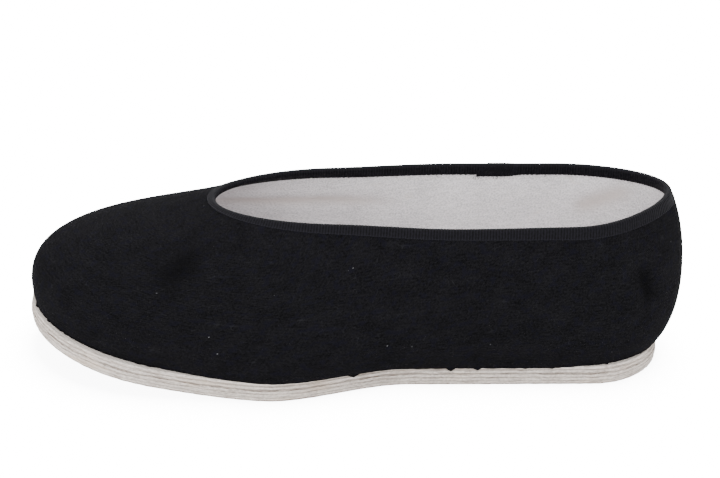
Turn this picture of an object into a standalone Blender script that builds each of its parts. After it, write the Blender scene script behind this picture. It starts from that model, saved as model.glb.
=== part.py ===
"""A low Chinese cloth shoe, left foot, standing empty on its stitched cloth sole.

Metres, +Z up. The toe points along -X, the outer (lateral) side faces -Y, the floor is Z = 0,
and the origin is under the middle of the shoe's box. The pieces are the five plies of the sole,
the insole, the upper and the tape that binds its collar.

Round the shoe, every ring has the same columns. Column 0 is the middle of the heel, and they run
along the lateral side to the toe and back along the medial side.
"""

import math
from collections import namedtuple

import bmesh
import bpy
from mathutils import Vector

# Sole: lengths and widths of its outline, seen from above.
SOLE_LENGTH = 0.275
HEEL_WIDTH = 0.0654
WAIST_WIDTH = 0.0642
BALL_WIDTH = 0.0945
TOE_WIDTH = 0.0920
TOE_SWING = 0.0100
HEEL_ROUND = 0.032
TOE_ROUND = 0.060
TOE_SPRING = 0.0156
FLAT_LENGTH = 0.165
SPRING_CURVE = 1.76

# Sole: the plies, from the ground up, each wrapped in cotton with a rounded edge.
PLY_THICKNESS = 0.0014
PLY_GAP = 0.0003
PLY_EDGE_ROUND = 0.0004
EDGE_TAPER = 0.0008

# Upper: its collar and vamp, with heights above the sole.
COLLAR_SETBACK = 0.0008
COLLAR_LENGTH = 0.1922
COLLAR_WIDTH = 0.0680
HEEL_HEIGHT = 0.0676
SIDE_HEIGHT = 0.0647
THROAT_HEIGHT = 0.0623
COLLAR_TILT = 0.0020
UPPER_WALL = 0.0014
SEAT_GAP = 0.0003
BULGE = 0.0100
LEDGE = 0.0040

# Binding: the tape folded over the collar's edge.
BINDING_WIDTH = 0.0036
BINDING_THICKNESS = 0.0004
BINDING_GAP = 0.0003

# Insole: the cotton sock that lies on the sole, inside the upper.
INSOLE_THICKNESS = 0.0015
INSOLE_GAP = 0.0005
INSOLE_EDGE_ROUND = 0.0004

# How finely the forms are cut.
COLUMNS = 72
WALL_STEPS = 12
ARC_STEPS = 4

# Along the sole from the heel (0) to the toe (1): width across, and the middle's swing to the
# medial side as a share of TOE_SWING.
SoleRow = namedtuple("SoleRow", "place along width swing")
SOLE_ROWS = (
    SoleRow("heel", 0.00, 0.965 * HEEL_WIDTH, 0.00),
    SoleRow("heel seat", 0.14, HEEL_WIDTH, 0.00),
    SoleRow("waist", 0.40, WAIST_WIDTH, -0.05),
    SoleRow("ball", 0.62, BALL_WIDTH, 0.20),
    SoleRow("toes", 0.82, 0.945 * BALL_WIDTH, 0.48),
    SoleRow("tip", 1.00, TOE_WIDTH, 0.97),
)

# Along the collar from the heel (0) to the throat (1): width across as a share of COLLAR_WIDTH,
# the middle's swing as a share of TOE_SWING, height above the sole, how far the medial side
# stands higher as a share of COLLAR_TILT, and the width of the tape outside as a share of
# BINDING_WIDTH.
CollarRow = namedtuple("CollarRow", "place along width swing height tilt tape")
COLLAR_ROWS = (
    CollarRow("heel", 0.00, 0.81, 0.00, HEEL_HEIGHT, 0.0, 1.10),
    CollarRow("quarter", 0.22, 0.97, -0.16, SIDE_HEIGHT, 0.0, 1.00),
    CollarRow("side", 0.46, 0.97, -0.24, SIDE_HEIGHT, 0.4, 0.80),
    CollarRow("instep", 0.75, 0.88, 0.09, 0.45 * THROAT_HEIGHT + 0.55 * SIDE_HEIGHT, -0.4, 0.78),
    CollarRow("throat", 1.00, 0.83, 0.39, THROAT_HEIGHT, 0.0, 0.50),
)
COLLAR_HEEL_ROUND = 0.24
COLLAR_THROAT_ROUND = 0.27
COLLAR_FAN = 1.2

# The pull of the wall between sole and collar, by place along the sole. It leaves the sole
# outwards by a share of BULGE and upwards by a share of SIDE_HEIGHT. It reaches the collar from
# outside by a share of the vamp's length and from below by a share of SIDE_HEIGHT. Its foot
# stands in from the sole's edge by a share of LEDGE.
WallRow = namedtuple("WallRow", "place along bulge rise lean drop ledge")
WALL_ROWS = (
    WallRow("heel", 0.00, 1.35, 0.28, 0.088, 0.22, 0.14),
    WallRow("heel corner", 0.07, 1.26, 0.29, 0.062, 0.32, 0.80),
    WallRow("quarter", 0.20, 1.12, 0.29, 0.040, 0.40, 0.08),
    WallRow("waist", 0.45, 1.36, 0.08, 0.080, 0.43, 0.05),
    WallRow("ball", 0.66, 0.98, 0.25, 0.195, 0.41, 0.38),
    WallRow("toes", 0.86, 0.86, 0.38, 0.360, 0.35, 1.00),
    WallRow("tip", 1.00, 0.70, 0.54, 0.580, 0.21, 0.68),
)

# The plies of the sole, from the ground up: thickness as a share of PLY_THICKNESS, and how far
# each edge stands in as a share of EDGE_TAPER.
PlyRow = namedtuple("PlyRow", "name thickness inset")
PLY_ROWS = (
    PlyRow("sole_ply_1", 1.15, 0.25),
    PlyRow("sole_ply_2", 1.00, 0.00),
    PlyRow("sole_ply_3", 1.00, 0.12),
    PlyRow("sole_ply_4", 1.00, 0.50),
    PlyRow("sole_ply_5", 1.00, 1.00),
)

STACK_HEIGHT = PLY_THICKNESS * sum(row.thickness for row in PLY_ROWS) + PLY_GAP * (len(PLY_ROWS) - 1)
VAMP_LENGTH = SOLE_LENGTH - COLLAR_SETBACK - COLLAR_LENGTH
UP = Vector((0.0, 0.0, 1.0))

# Surface finish of each piece: colour and roughness.
BLACK_CLOTH = ("black cloth", (0.012, 0.012, 0.015, 1.0), 0.92)
BLACK_TAPE = ("black ribbed tape", (0.020, 0.020, 0.026, 1.0), 0.75)
WHITE_COTTON = ("white cotton", (0.74, 0.72, 0.70, 1.0), 0.90)
SOLE_COTTON = ("cotton sole edge", (0.68, 0.65, 0.61, 1.0), 0.85)


def clear_scene():
    """Empties the file of its objects."""
    for item in list(bpy.data.objects):
        bpy.data.objects.remove(item, do_unlink=True)


def cloth(finish):
    """The material of a cloth piece."""
    name, colour, roughness = finish
    material = bpy.data.materials.get(name) or bpy.data.materials.new(name)
    material.use_nodes = True
    shader = material.node_tree.nodes["Principled BSDF"]
    shader.inputs["Base Color"].default_value = colour
    shader.inputs["Roughness"].default_value = roughness
    shader.inputs["Metallic"].default_value = 0.0
    return material


def end_slope(near, far, near_step, far_step):
    """The slope at the end of a table, from its first two slopes, with no overshoot."""
    slope = ((2 * near_step + far_step) * near - near_step * far) / (near_step + far_step)
    if slope * near <= 0:
        return 0.0
    return 3 * near if near * far < 0 and abs(slope) > 3 * abs(near) else slope


def read(rows, column, along):
    """The value of a table's column at a place, on a smooth curve that never overshoots a row."""
    places = [row.along for row in rows]
    values = [getattr(row, column) for row in rows]
    steps = [b - a for a, b in zip(places, places[1:])]
    rates = [(b - a) / step for a, b, step in zip(values, values[1:], steps)]
    slopes = [end_slope(rates[0], rates[1], steps[0], steps[1])]
    for k in range(1, len(rates)):
        before, after = rates[k - 1], rates[k]
        if before * after <= 0:
            slopes.append(0.0)
            continue
        weight_before = 2 * steps[k] + steps[k - 1]
        weight_after = steps[k] + 2 * steps[k - 1]
        slopes.append((weight_before + weight_after) / (weight_before / before + weight_after / after))
    slopes.append(end_slope(rates[-1], rates[-2], steps[-1], steps[-2]))
    k = max(i for i in range(len(steps)) if i == 0 or places[i] <= along)
    t = (along - places[k]) / steps[k]
    return (
        values[k] * (1 + 2 * t) * (1 - t) ** 2
        + values[k + 1] * t * t * (3 - 2 * t)
        + slopes[k] * steps[k] * t * (1 - t) ** 2
        - slopes[k + 1] * steps[k] * t * t * (1 - t)
    )


def rounded(distance, reach):
    """How much of the full width is left at a distance from a round end that has this reach."""
    short = 1 - min(max(distance / reach, 0.0), 1.0)
    return math.sqrt(1 - short * short)


def around(column):
    """A column's place from heel (0) to toe (1), and its side: -1 lateral, 1 medial."""
    angle = 2 * math.pi * column / COLUMNS
    return (1 - math.cos(angle)) / 2, (-1 if column <= COLUMNS // 2 else 1)


def ground_height(x):
    """Height of the sole's underside: flat from the heel to the ball, then sprung up to the toe."""
    past_flat = max(-x - FLAT_LENGTH, 0.0) / (SOLE_LENGTH - FLAT_LENGTH)
    return TOE_SPRING * past_flat**SPRING_CURVE


def outward_normals(ring):
    """The level directions that point out of a ring, one at each point."""
    normals = []
    for k, point in enumerate(ring):
        run = ring[(k + 1) % len(ring)] - ring[k - 1]
        normals.append(Vector((-run.y, run.x, 0.0)).normalized())
    return normals


def sole_ring(inset, height, ledge=0.0):
    """The sole's outline drawn in by an inset, at a height above the sole's underside.

    A ledge draws it in further where the upper's foot stands in from the sole's edge.
    """
    ring = []
    for column in range(COLUMNS):
        along, side = around(column)
        full = rounded(along * SOLE_LENGTH, HEEL_ROUND) * rounded((1 - along) * SOLE_LENGTH, TOE_ROUND)
        middle = read(SOLE_ROWS, "swing", along) * TOE_SWING
        half = read(SOLE_ROWS, "width", along) / 2 * full
        ring.append(Vector((-along * SOLE_LENGTH, middle + side * half, 0.0)))
    insets = [inset + ledge * read(WALL_ROWS, "ledge", around(c)[0]) for c in range(COLUMNS)]
    ring = [point - out * back for point, out, back in zip(ring, outward_normals(ring), insets)]
    return [Vector((p.x, p.y, ground_height(p.x) + height)) for p in ring]


def collar_ring():
    """The outer edge of the collar."""
    ring = []
    for column in range(COLUMNS):
        sole_along, side = around(column)
        along = 1 - (1 - sole_along) ** COLLAR_FAN
        full = rounded(along, COLLAR_HEEL_ROUND) * rounded(1 - along, COLLAR_THROAT_ROUND)
        middle = read(COLLAR_ROWS, "swing", along) * TOE_SWING
        half = read(COLLAR_ROWS, "width", along) * COLLAR_WIDTH / 2 * full
        tilt = side * read(COLLAR_ROWS, "tilt", along) * COLLAR_TILT / 2
        height = STACK_HEIGHT + read(COLLAR_ROWS, "height", along) + tilt
        ring.append(Vector((-COLLAR_SETBACK - along * COLLAR_LENGTH, middle + side * half, height)))
    return ring


def wall_curves():
    """The four guide points of each column's curve from the sole's edge up to the collar."""
    feet = sole_ring(0.0, STACK_HEIGHT + SEAT_GAP, LEDGE)
    tops = collar_ring()
    curves = []
    for column, (foot, foot_out, top, top_out) in enumerate(
        zip(feet, outward_normals(feet), tops, outward_normals(tops))
    ):
        along, _ = around(column)
        bulge = read(WALL_ROWS, "bulge", along) * BULGE
        rise = read(WALL_ROWS, "rise", along) * SIDE_HEIGHT
        lean = read(WALL_ROWS, "lean", along) * VAMP_LENGTH
        drop = read(WALL_ROWS, "drop", along) * SIDE_HEIGHT
        curves.append((foot, foot + foot_out * bulge + UP * rise, top + top_out * lean - UP * drop, top))
    return curves


def on_curve(curve, t):
    """A point of a column's curve, from the sole (0) to the collar (1)."""
    a, b, c, d = curve
    return a * (1 - t) ** 3 + b * 3 * t * (1 - t) ** 2 + c * 3 * t * t * (1 - t) + d * t**3


def along_curve(curve, t):
    """The direction of a column's curve, upwards."""
    a, b, c, d = curve
    return ((b - a) * (1 - t) ** 2 + (c - b) * 2 * t * (1 - t) + (d - c) * t * t).normalized()


def skin(curves, column, t, out=0.0):
    """A point of the upper's outer face, or one that stands out of it by a distance."""
    across = on_curve(curves[(column + 1) % COLUMNS], t) - on_curve(curves[column - 1], t)
    normal = along_curve(curves[column], t).cross(across).normalized()
    return on_curve(curves[column], t) + normal * out


def below_collar(curve, down):
    """Where on a column's curve the point lies that is this far down from the collar."""
    low, high = 0.5, 1.0
    for _ in range(30):
        middle = (low + high) / 2
        if (curve[3] - on_curve(curve, middle)).length > down:
            low = middle
        else:
            high = middle
    return (low + high) / 2


def tape_levels(curves, outside):
    """Where the tape's edge, its middle and the collar's edge lie on each column's curve."""
    levels = []
    for share in (1.0, 0.5):
        level = []
        for column, curve in enumerate(curves):
            along = 1 - (1 - around(column)[0]) ** COLLAR_FAN
            narrowed = read(COLLAR_ROWS, "tape", along) if outside else 1.0
            level.append(below_collar(curve, share * narrowed * BINDING_WIDTH))
        levels.append(level)
    return levels + [[1.0] * COLUMNS]


def face_rings(curves, levels, out):
    """Rings of the wall at these levels, standing out of the upper's outer face by a distance."""
    return [[skin(curves, c, level[c], out) for c in range(COLUMNS)] for level in levels]


def upper_rings(curves):
    """The upper's outer face from sole to collar, then its inner face back down to the sole.

    Its last rings lie where the binding's rings do, so that the two faces run side by side.
    """
    faces = []
    for outside, out in ((True, 0.0), (False, -UPPER_WALL)):
        edge, middle, top = tape_levels(curves, outside)
        wall = [[t * step / WALL_STEPS for t in edge] for step in range(WALL_STEPS)]
        faces.append(face_rings(curves, wall + [edge, middle, top], out))
    outer, inner = faces
    inner[0] = sole_ring(UPPER_WALL, STACK_HEIGHT + SEAT_GAP, LEDGE)
    return outer + inner[::-1]


def fold_ring(curves, radius, angle):
    """A ring of the fold over the collar's edge. The angle runs from outside over to inside."""
    ring = []
    for c in range(COLUMNS):
        edge_middle = skin(curves, c, 1.0, -UPPER_WALL / 2)
        out = (skin(curves, c, 1.0) - edge_middle).normalized()
        up = along_curve(curves[c], 1.0)
        ring.append(edge_middle + out * radius * math.cos(angle) + up * radius * math.sin(angle))
    return ring


def binding_rings(curves):
    """The tape's outer face from outside the collar over to its inside, then its inner face back."""
    outside_levels, inside_levels = tape_levels(curves, True), tape_levels(curves, False)
    rings = []
    for gap, turn in ((BINDING_GAP + BINDING_THICKNESS, 1), (BINDING_GAP, -1)):
        outside = face_rings(curves, outside_levels[:2], gap)
        fold = [fold_ring(curves, UPPER_WALL / 2 + gap, math.pi * k / ARC_STEPS) for k in range(ARC_STEPS + 1)]
        inside = face_rings(curves, inside_levels[1::-1], -UPPER_WALL - gap)
        rings += (outside + fold + inside)[::turn]
    return rings


def slab_rings(inset, bottom, thickness, edge_round, ledge=0.0):
    """The edge of a flat ply from its underside to its top, with both its edges eased."""
    top = bottom + thickness
    return [
        sole_ring(inset + edge_round, bottom, ledge),
        sole_ring(inset, bottom + edge_round, ledge),
        sole_ring(inset, top - edge_round, ledge),
        sole_ring(inset + edge_round, top, ledge),
    ]


def skin_rings(mesh, rings, closed):
    """Joins each ring to the next, and the last to the first where the wall closes on itself."""
    rows = [[mesh.verts.new(point) for point in ring] for ring in rings]
    pairs = list(zip(rows, rows[1:])) + ([(rows[-1], rows[0])] if closed else [])
    for low, high in pairs:
        for c in range(COLUMNS):
            d = (c + 1) % COLUMNS
            mesh.faces.new((low[c], low[d], high[d], high[c]))
    return rows


def close_slab(mesh, row):
    """Fills a slab's face with straight strips from side to side."""
    half = COLUMNS // 2
    for c in range(half):
        d = (COLUMNS - c) % COLUMNS
        corners = [row[c], row[c + 1], row[COLUMNS - c - 1], row[d]]
        mesh.faces.new(list(dict.fromkeys(corners)))


def make_piece(name, rings, finish, parent, closed=False):
    """A named solid skinned over its rings: a wall that closes on itself, or a slab with faces."""
    mesh = bmesh.new()
    rows = skin_rings(mesh, rings, closed)
    if not closed:
        close_slab(mesh, rows[0])
        close_slab(mesh, rows[-1])
    bmesh.ops.recalc_face_normals(mesh, faces=mesh.faces)
    data = bpy.data.meshes.new(name)
    mesh.to_mesh(data)
    mesh.free()
    data.shade_smooth()
    data.set_sharp_from_angle(angle=math.radians(50))
    data.materials.append(cloth(finish))
    piece = bpy.data.objects.new(name, data)
    piece.parent = parent
    bpy.context.scene.collection.objects.link(piece)
    return piece


def make_sole(parent):
    """The plies of the sole, stacked from the ground up."""
    bottom = 0.0
    for row in PLY_ROWS:
        thickness = row.thickness * PLY_THICKNESS
        rings = slab_rings(row.inset * EDGE_TAPER, bottom, thickness, PLY_EDGE_ROUND)
        make_piece(row.name, rings, SOLE_COTTON, parent)
        bottom += thickness + PLY_GAP


def make_insole(parent):
    """The insole, which fills the sole's top inside the upper."""
    inset = UPPER_WALL + INSOLE_GAP
    rings = slab_rings(inset, STACK_HEIGHT + SEAT_GAP, INSOLE_THICKNESS, INSOLE_EDGE_ROUND, LEDGE)
    make_piece("insole", rings, WHITE_COTTON, parent)


def middle_of(rings):
    """The middle of the box that holds these rings, on the floor."""
    points = [point for ring in rings for point in ring]
    ends = [(min(p[axis] for p in points), max(p[axis] for p in points)) for axis in (0, 1)]
    return Vector((sum(ends[0]) / 2, sum(ends[1]) / 2, 0.0))


def main():
    clear_scene()
    curves = wall_curves()
    upper = upper_rings(curves)
    binding = binding_rings(curves)
    shoe = bpy.data.objects.new("shoe", None)
    shoe.location = -middle_of(upper + binding + [sole_ring(0.0, 0.0)])
    bpy.context.scene.collection.objects.link(shoe)
    make_sole(shoe)
    make_insole(shoe)
    make_piece("upper", upper, BLACK_CLOTH, shoe, closed=True)
    make_piece("collar_binding", binding, BLACK_TAPE, shoe, closed=True)


main()
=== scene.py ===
"""Dresses a packed cloth shoe in its fabrics: black upper, white lining, ribbed tape, layered sole.

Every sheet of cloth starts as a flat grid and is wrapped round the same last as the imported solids,
so it lies where its solid lies. Places round the shoe run from 0 at the middle of the heel, along
the outer side of the foot to 0.5 at the toe, and back along the inner side to 1. Levels run from
0 at the sole to 1 at the collar.
"""

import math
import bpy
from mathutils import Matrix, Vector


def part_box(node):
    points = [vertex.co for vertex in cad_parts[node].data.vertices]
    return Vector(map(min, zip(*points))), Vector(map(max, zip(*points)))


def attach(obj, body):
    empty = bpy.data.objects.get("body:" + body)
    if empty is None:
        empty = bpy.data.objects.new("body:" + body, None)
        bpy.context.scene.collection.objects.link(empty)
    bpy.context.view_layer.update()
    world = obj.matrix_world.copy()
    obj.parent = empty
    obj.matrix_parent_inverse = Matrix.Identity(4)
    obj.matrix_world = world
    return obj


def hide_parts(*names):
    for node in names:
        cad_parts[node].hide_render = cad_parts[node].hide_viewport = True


bl_info = {
    "name": "Cloth Shoe",
    "version": (1, 0, 0),
    "blender": (4, 5, 0),
    "location": "View3D > Sidebar > Cloth Shoe",
    "description": "Dresses a packed cloth shoe with woven, ribbed and layered cotton pieces",
    "category": "Object",
}

from collections import namedtuple

import bpy
import numpy as np
from mathutils import Vector

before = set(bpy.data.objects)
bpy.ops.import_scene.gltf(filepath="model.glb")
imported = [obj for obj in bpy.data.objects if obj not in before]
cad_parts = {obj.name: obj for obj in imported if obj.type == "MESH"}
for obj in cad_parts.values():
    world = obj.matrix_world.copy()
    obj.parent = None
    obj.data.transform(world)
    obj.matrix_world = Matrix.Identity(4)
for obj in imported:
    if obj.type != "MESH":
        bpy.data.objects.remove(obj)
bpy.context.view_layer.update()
BODY = "root"
PHOTO_WIDTH = 720
PHOTO_HEIGHT = 478
FLOOR_GLOW = 15.0
# How far outside the sole's outline the rings of the floor lie; the floor's glow is darkened on the nearer rings as a
# painted contact shadow.
FLOOR_RINGS = np.array([-0.004, 0.0, 0.002, 0.004, 0.008, 0.014, 0.022, 0.035])

# The last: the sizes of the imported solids, in metres.
SOLE_LENGTH = 0.275
HEEL_WIDTH = 0.0654
WAIST_WIDTH = 0.0642
BALL_WIDTH = 0.0945
TOE_WIDTH = 0.0920
TOE_SWING = 0.0100
HEEL_ROUND = 0.032
TOE_ROUND = 0.060
TOE_SPRING = 0.0156
FLAT_LENGTH = 0.165
SPRING_CURVE = 1.76
PLY_THICKNESS = 0.0014
PLY_GAP = 0.0003
EDGE_TAPER = 0.0008
COLLAR_SETBACK = 0.0008
COLLAR_LENGTH = 0.1922
COLLAR_WIDTH = 0.0680
HEEL_HEIGHT = 0.0676
SIDE_HEIGHT = 0.0647
THROAT_HEIGHT = 0.0623
COLLAR_TILT = 0.0020
UPPER_WALL = 0.0014
SEAT_GAP = 0.0003
BULGE = 0.0100
LEDGE = 0.0040
BINDING_WIDTH = 0.0036
BINDING_THICKNESS = 0.0004
BINDING_GAP = 0.0003
INSOLE_THICKNESS = 0.0015
INSOLE_GAP = 0.0005
COLLAR_HEEL_ROUND = 0.24
COLLAR_THROAT_ROUND = 0.27
COLLAR_FAN = 1.2
CAD_COLUMNS = 72
LAST_COLUMNS = 720

SoleRow = namedtuple("SoleRow", "along width swing")
SOLE_ROWS = (
    SoleRow(0.00, 0.965 * HEEL_WIDTH, 0.00),
    SoleRow(0.14, HEEL_WIDTH, 0.00),
    SoleRow(0.40, WAIST_WIDTH, -0.05),
    SoleRow(0.62, BALL_WIDTH, 0.20),
    SoleRow(0.82, 0.945 * BALL_WIDTH, 0.48),
    SoleRow(1.00, TOE_WIDTH, 0.97),
)
CollarRow = namedtuple("CollarRow", "along width swing height tilt tape")
COLLAR_ROWS = (
    CollarRow(0.00, 0.81, 0.00, HEEL_HEIGHT, 0.0, 1.10),
    CollarRow(0.22, 0.97, -0.16, SIDE_HEIGHT, 0.0, 1.00),
    CollarRow(0.46, 0.97, -0.24, SIDE_HEIGHT, 0.4, 0.80),
    CollarRow(0.75, 0.88, 0.09, 0.45 * THROAT_HEIGHT + 0.55 * SIDE_HEIGHT, -0.4, 0.78),
    CollarRow(1.00, 0.83, 0.39, THROAT_HEIGHT, 0.0, 0.50),
)
WallRow = namedtuple("WallRow", "along bulge rise lean drop ledge")
WALL_ROWS = (
    WallRow(0.00, 1.35, 0.28, 0.088, 0.22, 0.14),
    WallRow(0.07, 1.26, 0.29, 0.062, 0.32, 0.80),
    WallRow(0.20, 1.12, 0.29, 0.040, 0.40, 0.08),
    WallRow(0.45, 1.36, 0.08, 0.080, 0.43, 0.05),
    WallRow(0.66, 0.98, 0.25, 0.195, 0.41, 0.38),
    WallRow(0.86, 0.86, 0.38, 0.360, 0.35, 1.00),
    WallRow(1.00, 0.70, 0.54, 0.580, 0.21, 0.68),
)
PlyRow = namedtuple("PlyRow", "name thickness inset")
PLY_ROWS = (
    PlyRow("sole_ply_1", 1.15, 0.25),
    PlyRow("sole_ply_2", 1.00, 0.00),
    PlyRow("sole_ply_3", 1.00, 0.12),
    PlyRow("sole_ply_4", 1.00, 0.50),
    PlyRow("sole_ply_5", 1.00, 1.00),
)
# Creases in the cloth: each runs through stops of place and level.
Crease = namedtuple("Crease", "stops depth width shoulder fade")
UPPER_CREASES = (
    Crease(((0.091, 0.74), (0.0785, 0.55), (0.069, 0.38)), 0.0019, 0.0040, 0.35, 0.40),
    Crease(((0.917, 0.68), (0.930, 0.52), (0.934, 0.38)), 0.0007, 0.0040, 0.30, 0.40),
    Crease(((0.405, 0.90), (0.395, 0.70), (0.392, 0.50)), 0.0003, 0.0060, 0.20, 0.50),
    Crease(((0.600, 0.90), (0.612, 0.66), (0.615, 0.46)), 0.0003, 0.0060, 0.20, 0.50),
)
LINING_CREASES = (
    Crease(
        ((0.590, 0.64), (0.626, 0.672), (0.654, 0.692), (0.683, 0.727), (0.702, 0.757), (0.731, 0.772), (0.760, 0.78)),
        0.0006, 0.0028, 0.40, 0.30,
    ),
    Crease(((0.872, 0.67), (0.886, 0.725), (0.908, 0.80), (0.940, 0.915)), 0.0006, 0.0042, 0.40, 0.35),
    Crease(((0.375, 0.69), (0.330, 0.73), (0.280, 0.77), (0.250, 0.78)), 0.0006, 0.0024, 0.40, 0.35),
    Crease(((0.125, 0.70), (0.095, 0.78), (0.065, 0.88)), 0.0005, 0.0040, 0.40, 0.35),
)

STACK_HEIGHT = PLY_THICKNESS * sum(row.thickness for row in PLY_ROWS) + PLY_GAP * (len(PLY_ROWS) - 1)
VAMP_LENGTH = SOLE_LENGTH - COLLAR_SETBACK - COLLAR_LENGTH


def end_slope(near, far, near_step, far_step):
    """The slope at the end of a table, from its first two slopes, with no overshoot."""
    slope = ((2 * near_step + far_step) * near - near_step * far) / (near_step + far_step)
    if slope * near <= 0:
        return 0.0
    return 3 * near if near * far < 0 and abs(slope) > 3 * abs(near) else slope


def read(rows, column, along):
    """A table's column at an array of places, on a smooth curve that never overshoots a row."""
    places = np.array([row.along for row in rows])
    values = np.array([getattr(row, column) for row in rows])
    steps = np.diff(places)
    rates = np.diff(values) / steps
    slopes = [end_slope(rates[0], rates[1], steps[0], steps[1])]
    for k in range(1, len(rates)):
        before, after = rates[k - 1], rates[k]
        if before * after <= 0:
            slopes.append(0.0)
            continue
        weight_before = 2 * steps[k] + steps[k - 1]
        weight_after = steps[k] + 2 * steps[k - 1]
        slopes.append((weight_before + weight_after) / (weight_before / before + weight_after / after))
    slopes.append(end_slope(rates[-1], rates[-2], steps[-1], steps[-2]))
    slopes = np.array(slopes)
    k = np.clip(np.searchsorted(places, along, side="right") - 1, 0, len(steps) - 1)
    t = (along - places[k]) / steps[k]
    return (
        values[k] * (1 + 2 * t) * (1 - t) ** 2
        + values[k + 1] * t * t * (3 - 2 * t)
        + slopes[k] * steps[k] * t * (1 - t) ** 2
        - slopes[k + 1] * steps[k] * t * t * (1 - t)
    )


def rounded(distance, reach):
    """How much of the full width is left at distances from a round end that has this reach."""
    short = 1 - np.clip(distance / reach, 0, 1)
    return np.sqrt(1 - short * short)


def ground_height(x):
    """Height of the sole's underside: flat from the heel to the ball, then sprung up to the toe."""
    past_flat = np.maximum(-x - FLAT_LENGTH, 0.0) / (SOLE_LENGTH - FLAT_LENGTH)
    return TOE_SPRING * past_flat**SPRING_CURVE


def level_normals(ring):
    """The level directions that point out of a ring, one at each of its points."""
    run = np.roll(ring, -1, 0) - np.roll(ring, 1, 0)
    out = np.stack([-run[:, 1], run[:, 0], np.zeros(len(ring))], 1)
    return out / np.linalg.norm(out, axis=1)[:, None]


def places_round(count):
    """Places along the shoe from heel (0) to toe (1), and the side, for columns round the shoe."""
    angle = 2 * np.pi * np.arange(count) / count
    return (1 - np.cos(angle)) / 2, np.where(angle <= np.pi, -1, 1)


def sole_ring(count, inset, height, ledge=0.0):
    """The sole's outline drawn in by an inset, at a height above the sole's underside."""
    along, side = places_round(count)
    full = rounded(along * SOLE_LENGTH, HEEL_ROUND) * rounded((1 - along) * SOLE_LENGTH, TOE_ROUND)
    middle = read(SOLE_ROWS, "swing", along) * TOE_SWING
    half = read(SOLE_ROWS, "width", along) / 2 * full
    ring = np.stack([-along * SOLE_LENGTH, middle + side * half, np.zeros(count)], 1)
    inset = inset + ledge * read(WALL_ROWS, "ledge", along)
    ring = ring - level_normals(ring) * np.reshape(inset, (-1, 1))
    ring[:, 2] = ground_height(ring[:, 0]) + height
    return ring


def collar_ring(count):
    """The outer edge of the collar."""
    sole_along, side = places_round(count)
    along = 1 - (1 - sole_along) ** COLLAR_FAN
    full = rounded(along, COLLAR_HEEL_ROUND) * rounded(1 - along, COLLAR_THROAT_ROUND)
    middle = read(COLLAR_ROWS, "swing", along) * TOE_SWING
    half = read(COLLAR_ROWS, "width", along) * COLLAR_WIDTH / 2 * full
    tilt = side * read(COLLAR_ROWS, "tilt", along) * COLLAR_TILT / 2
    height = STACK_HEIGHT + read(COLLAR_ROWS, "height", along) + tilt
    return np.stack([-COLLAR_SETBACK - along * COLLAR_LENGTH, middle + side * half, height], 1)


def frame_shift():
    """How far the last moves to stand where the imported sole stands."""
    ring = sole_ring(CAD_COLUMNS, 0.0, 0.0)
    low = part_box("sole_ply_2")[0]
    return np.array([low.x - ring[:, 0].min(), low.y - ring[:, 1].min(), 0.0])


def wall_guides():
    """The four guide points of the wall's curve up from the sole, at every column of the last."""
    feet = sole_ring(LAST_COLUMNS, 0.0, STACK_HEIGHT + SEAT_GAP, LEDGE)
    tops = collar_ring(LAST_COLUMNS)
    along, _ = places_round(LAST_COLUMNS)
    up = np.array([0.0, 0.0, 1.0])

    def pull(column, size):
        return (read(WALL_ROWS, column, along) * size)[:, None]

    low = feet + level_normals(feet) * pull("bulge", BULGE) + up * pull("rise", SIDE_HEIGHT)
    high = tops + level_normals(tops) * pull("lean", VAMP_LENGTH) - up * pull("drop", SIDE_HEIGHT)
    return np.stack([feet, low, high, tops], 1) + SHIFT


SHIFT = frame_shift()
GUIDES = wall_guides()


def guides_at(place):
    """The guide points at places round the shoe, read between the last's columns."""
    spot = np.mod(place, 1.0) * LAST_COLUMNS
    before = np.floor(spot).astype(int) % LAST_COLUMNS
    share = (spot - np.floor(spot))[..., None, None]
    return GUIDES[before] * (1 - share) + GUIDES[(before + 1) % LAST_COLUMNS] * share


def on_curve(guides, level):
    """Points of the wall's curves at these levels."""
    t = level[..., None]
    a, b, c, d = (guides[..., k, :] for k in range(4))
    return a * (1 - t) ** 3 + b * 3 * t * (1 - t) ** 2 + c * 3 * t * t * (1 - t) + d * t**3


def up_curve(guides, level):
    """Directions of the wall's curves at these levels, upwards."""
    t = level[..., None]
    a, b, c, d = (guides[..., k, :] for k in range(4))
    return unit((b - a) * (1 - t) ** 2 + (c - b) * 2 * t * (1 - t) + (d - c) * t * t)


def unit(vectors):
    """These vectors, each with a length of 1."""
    return vectors / np.linalg.norm(vectors, axis=-1, keepdims=True)


def wall_frame(place, level):
    """Points of the upper's outer face, its outward directions and its upward directions."""
    place, level = np.broadcast_arrays(np.asarray(place, float), np.asarray(level, float))
    step = 1.0 / LAST_COLUMNS
    here = guides_at(place)
    up = up_curve(here, level)
    across = on_curve(guides_at(place + step), level) - on_curve(guides_at(place - step), level)
    return on_curve(here, level), unit(np.cross(up, across)), up


def level_below(place, down):
    """The levels that lie this far down the wall from the collar."""
    guides = guides_at(place)
    low, high = np.full(np.shape(place), 0.5), np.ones(np.shape(place))
    for _ in range(30):
        middle = (low + high) / 2
        far = np.linalg.norm(guides[..., 3, :] - on_curve(guides, middle), axis=-1) > down
        low, high = np.where(far, middle, low), np.where(far, high, middle)
    return (low + high) / 2


def collar_along(place):
    """How far along the collar, from heel (0) to throat (1), places round the shoe lie."""
    sole_along = (1 - np.cos(2 * np.pi * place)) / 2
    return 1 - (1 - sole_along) ** COLLAR_FAN


def run_length(points):
    """The distance covered along a row of points, at each point."""
    steps = np.linalg.norm(np.diff(points, axis=0), axis=1)
    return np.concatenate([[0.0], np.cumsum(steps)])


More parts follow.
